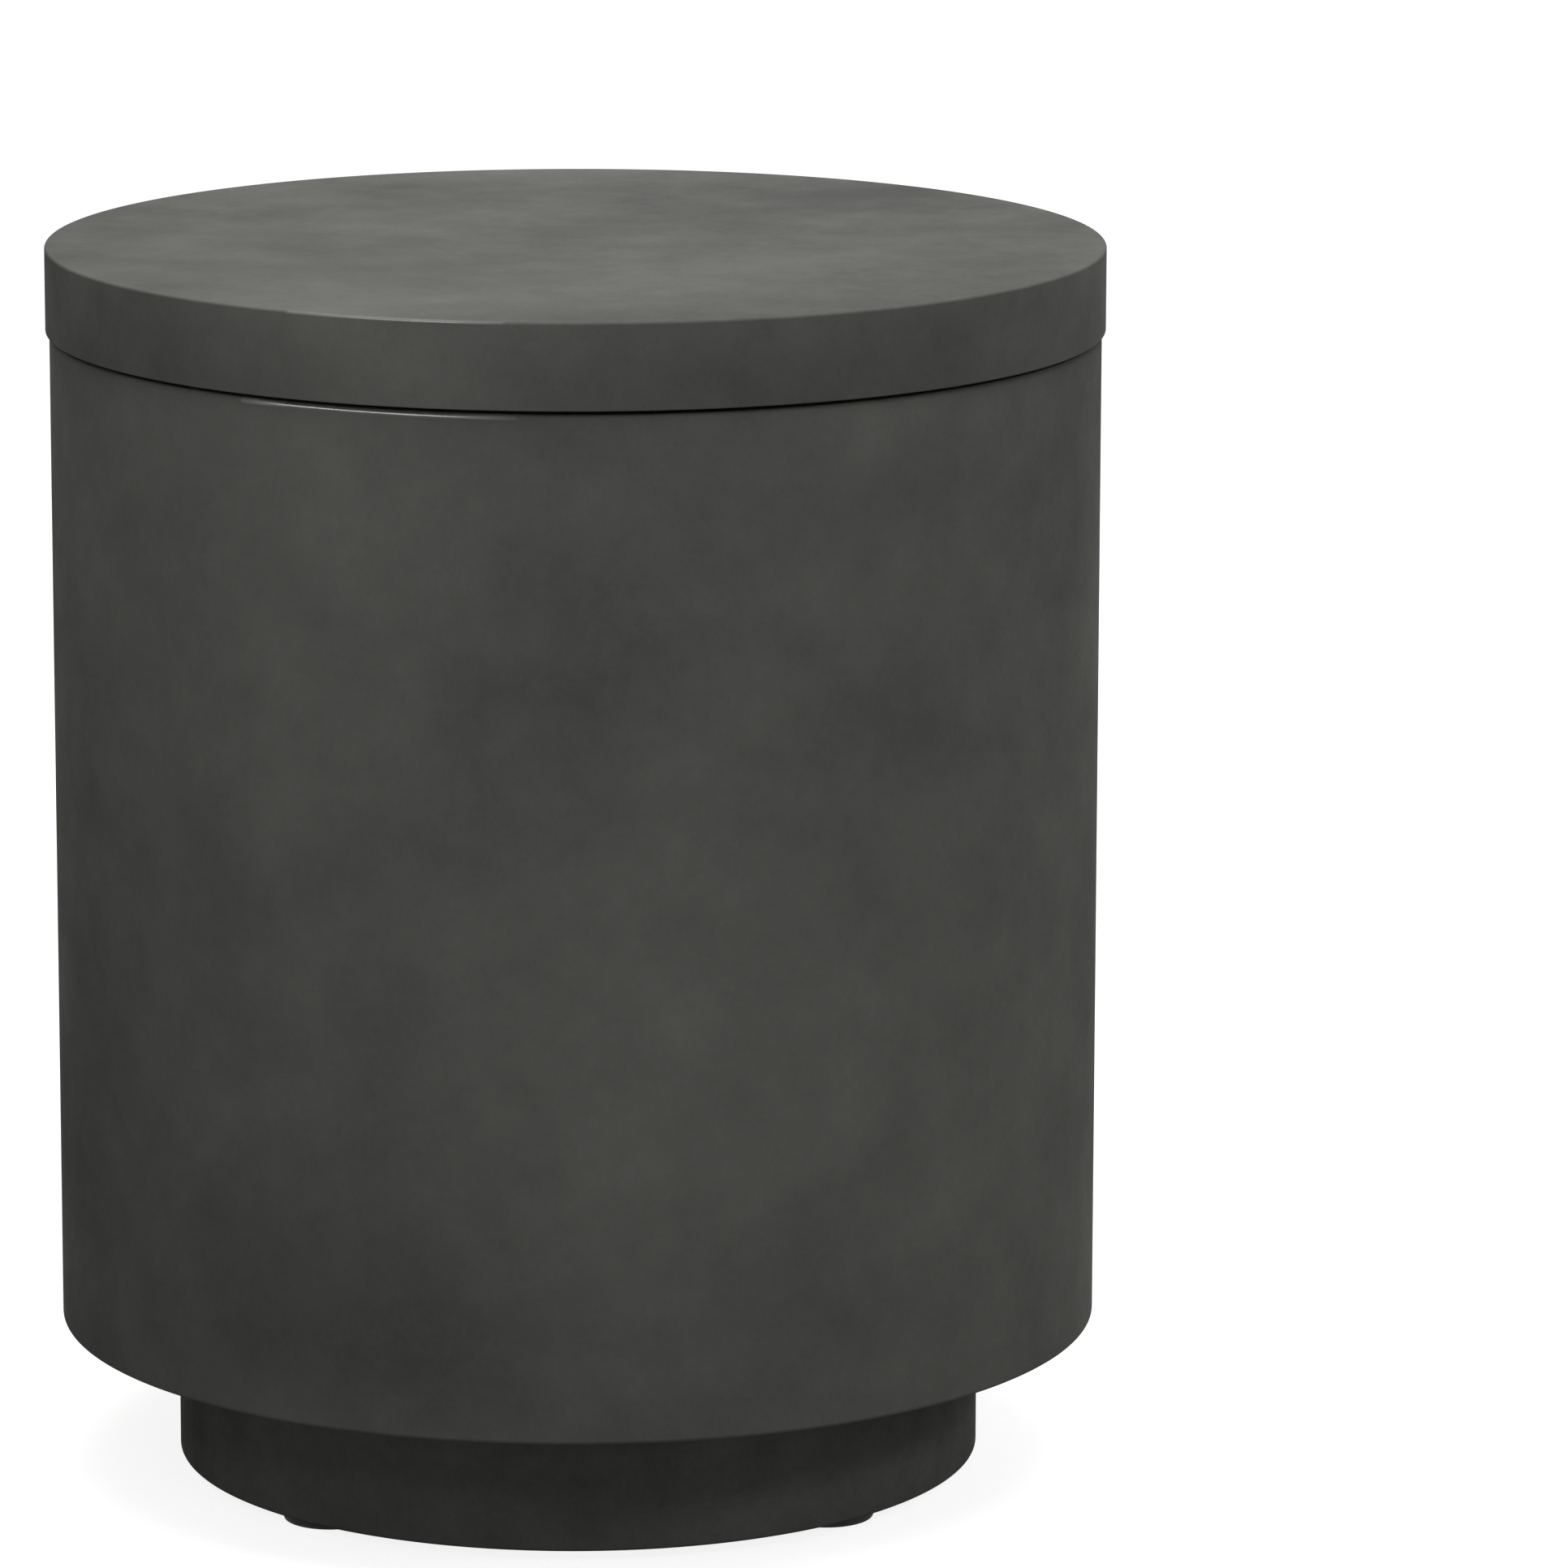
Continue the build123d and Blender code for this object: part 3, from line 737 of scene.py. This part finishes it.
# Rivets: two domed heads inside and out hold each ear
earRivets = {
    "halfAngle": 3.573, "height": 395.3, "head": 4, "headHeight": 1.8, "headRound": 1.6, "shank": 2,
    "inner": 157.8, "outer": 161.1, "segments": 40,
}
rivetCorners = [
    (0, earRivets["inner"] - earRivets["headHeight"]),
    (earRivets["head"], earRivets["inner"] - earRivets["headHeight"], earRivets["headRound"]),
    (earRivets["head"], earRivets["inner"]),
    (earRivets["shank"], earRivets["inner"]),
    (earRivets["shank"], earRivets["outer"]),
    (earRivets["head"], earRivets["outer"]),
    (earRivets["head"], earRivets["outer"] + earRivets["headHeight"], earRivets["headRound"]),
    (0, earRivets["outer"] + earRivets["headHeight"]),
]
for side, heading in (("right", 0), ("left", 180)):
    rivets = turn(
        f"{side}EarRivets", pressedStainless, rivetCorners, earRivets["segments"],
        stand=(0, 0, earRivets["height"]), tilt=90, count=2,
        first=heading - earRivets["halfAngle"], step=2 * earRivets["halfAngle"])
    settle(rivets, "bucket", "ear_steel", f"ear_rivets_{side}")

# Bail: drawn wire bent to a half ring, its ends turned out through the ears and headed over
wireBail = {
    "wire": 2.5, "leg": 152.9, "bow": 172.5, "bend": 4.5, "pinEnd": 160.4, "head": 4.5, "headThickness": 3,
    "headRound": 1.0, "sides": 24, "headSegments": 40,
}
pivotHeight = pivotEars["pivot"]
leg, bow, pinEnd = wireBail["leg"], wireBail["bow"], wireBail["pinEnd"]
wire = drawLine("wireBail", [
    (pinEnd, 0, pivotHeight), (leg, 0, pivotHeight), (leg, bow, pivotHeight),
    (-leg, bow, pivotHeight), (-leg, 0, pivotHeight), (-pinEnd, 0, pivotHeight),
], [0, wireBail["bend"], leg, leg, wireBail["bend"], 0])
runTree(wire, wireTree, wireInputs, {
    "Wire Radius": wireBail["wire"] * mm, "Sides": wireBail["sides"],
    "Tolerance": meshing["tolerance"] * mm, "Material": drawnWire})
heads = turn("bailHeads", drawnWire, [
    (0, pinEnd),
    (wireBail["head"], pinEnd, wireBail["headRound"]),
    (wireBail["head"], pinEnd + wireBail["headThickness"], wireBail["headRound"]),
    (0, pinEnd + wireBail["headThickness"]),
], wireBail["headSegments"], stand=(0, 0, pivotHeight), tilt=90, count=2, first=0, step=180)
settle(wire, "bail", "bail_wire", "bail")
settle(heads, "bail", "bail_wire", "bail")

# Sealed inner pieces keep their solids and take a finish
for node, finish in (("plinth_inserts", turnedBrass), ("foot_anchors", mouldedNylon)):
    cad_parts[node].data.materials.clear()
    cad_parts[node].data.materials.append(finish)
print("pieces made")

# Studio, in metres and watts: a pale floor that reads white, a large soft light overhead and weaker ones
# round the table. The edge card is seen only in reflections, where it lights the rubbed edges
studio = {
    "floorSize": 60.0, "floorColour": "#8c8c8a", "floorRoughness": 0.9,
    "nearGlow": 0.87, "farGlow": 1.0, "glowReach": (0.6, 1.6), "ambient": 0.08,
    "edgeCard": ("edgeCard", (-1.06, -0.8, 1.3), (-0.08, -0.18, 0.44), (1.5, 0.35), 43.0),
    "lights": (  # name, place, aim, width and height, power
        ("overhead", (0.2, -0.1, 2.6), (0, 0, 0.3), (2.4, 2.4), 74.5),
        ("overFront", (0.2, -1.2, 2.4), (0, 0, 0.3), (1.6, 1.6), 6.5),
        ("nearFrontLeft", (-0.55, -1.1, 1.05), (0, -0.1, 0.35), (0.6, 0.6), 4.2),
        ("lowFront", (0.2, -2.4, 0.5), (0, 0, 0.25), (0.9, 0.9), 5.0),
        ("keyRight", (1.36, -1.14, 1.32), (0, 0, 0.2), (0.3, 0.3), 5.8),
        ("rightBack", (1.7, 1.0, 0.9), (0, 0, 0.3), (0.8, 0.8), 11.8),
        ("leftBack", (-1.5, 1.6, 1.0), (0, 0, 0.3), (1.0, 1.0), 7.4),
        ("backFill", (0.5, 2.4, 1.1), (0, 0, 0.3), (1.2, 1.2), 11.6),
    ),
}


def shownStraight(tree):  # 1 for rays from the camera, a reflection or glass, 0 for scattered light
    path = addNode(tree, "ShaderNodeLightPath").outputs
    straight = addNode(tree, "ShaderNodeMath", {
        0: path["Is Camera Ray"], 1: path["Is Glossy Ray"]}, operation="MAXIMUM")
    shown = addNode(tree, "ShaderNodeMath", {
        0: straight.outputs[0], 1: path["Is Transmission Ray"]}, operation="MAXIMUM")
    return shown.outputs[0]


def makeFloor():
    half = studio["floorSize"] / 2
    mesh = bpy.data.meshes.new("paleFloor")
    corners = [(-half, -half, 0), (half, -half, 0), (half, half, 0), (-half, half, 0)]
    mesh.from_pydata(corners, [], [(0, 1, 2, 3)])
    floor = linkNew("paleFloor", mesh)
    material, tree, shader, place = startMaterial("paleFloor")
    distance = addNode(tree, "ShaderNodeVectorMath", {0: place}, operation="LENGTH")
    near, far = studio["glowReach"]
    rise = addNode(tree, "ShaderNodeMapRange", {
        "Value": distance.outputs["Value"], "From Min": near, "From Max": far,
        "To Min": studio["nearGlow"], "To Max": studio["farGlow"]})
    glow = addNode(tree, "ShaderNodeMath", {0: shownStraight(tree), 1: rise.outputs[0]}, operation="MULTIPLY")
    shader.inputs["Base Color"].default_value = linear(studio["floorColour"])
    shader.inputs["Roughness"].default_value = studio["floorRoughness"]
    shader.inputs["Specular IOR Level"].default_value = 0.0
    shader.inputs["Emission Color"].default_value = (1, 1, 1, 1)
    tree.links.new(glow.outputs[0], shader.inputs["Emission Strength"])
    mesh.materials.append(material)


def makeWorld():
    world = bpy.data.worlds.new("studioRoom")
    bpy.context.scene.world = world
    world.use_nodes = True
    tree = world.node_tree
    tree.nodes.clear()
    strength = addNode(tree, "ShaderNodeMapRange", {
        "Value": shownStraight(tree), "To Min": studio["ambient"], "To Max": 1.0})
    air = addNode(tree, "ShaderNodeBackground", {"Color": (1, 1, 1, 1), "Strength": strength.outputs[0]})
    addNode(tree, "ShaderNodeOutputWorld", {"Surface": air.outputs[0]})


def makeLight(name, place, aim, size, power):
    data = bpy.data.lights.new(name, "AREA")
    data.shape = "RECTANGLE"
    data.size, data.size_y = size
    data.energy = power
    lamp = linkNew(name, data)
    lamp.location = place
    lamp.rotation_euler = (Vector(aim) - Vector(place)).to_track_quat("-Z", "Y").to_euler()
    return lamp


# Where the photograph was taken from: place in metres, turn, dip and lean in degrees, lens and sensor
photoView = {
    "place": (0, -3.3, 0.9548), "yaw": 1.371, "pitch": 11.842, "roll": 0.159, "lens": 202.63, "sensor": 36,
}


def makeCamera():
    data = bpy.data.cameras.new("photoView")
    data.sensor_width = photoView["sensor"]
    data.lens = photoView["lens"]
    camera = linkNew("photoView", data)
    aim = Matrix.Rotation(-math.radians(photoView["yaw"]), 4, "Z")
    aim @= Matrix.Rotation(math.radians(90 - photoView["pitch"]), 4, "X")
    aim @= Matrix.Rotation(math.radians(photoView["roll"]), 4, "Z")
    camera.matrix_world = Matrix.Translation(photoView["place"]) @ aim
    bpy.context.scene.camera = camera


makeFloor()
makeWorld()
makeLight(*studio["edgeCard"]).visible_diffuse = False
for light in studio["lights"]:
    makeLight(*light)
makeCamera()
bpy.context.scene.view_settings.view_transform = "Standard"
print("studio made")
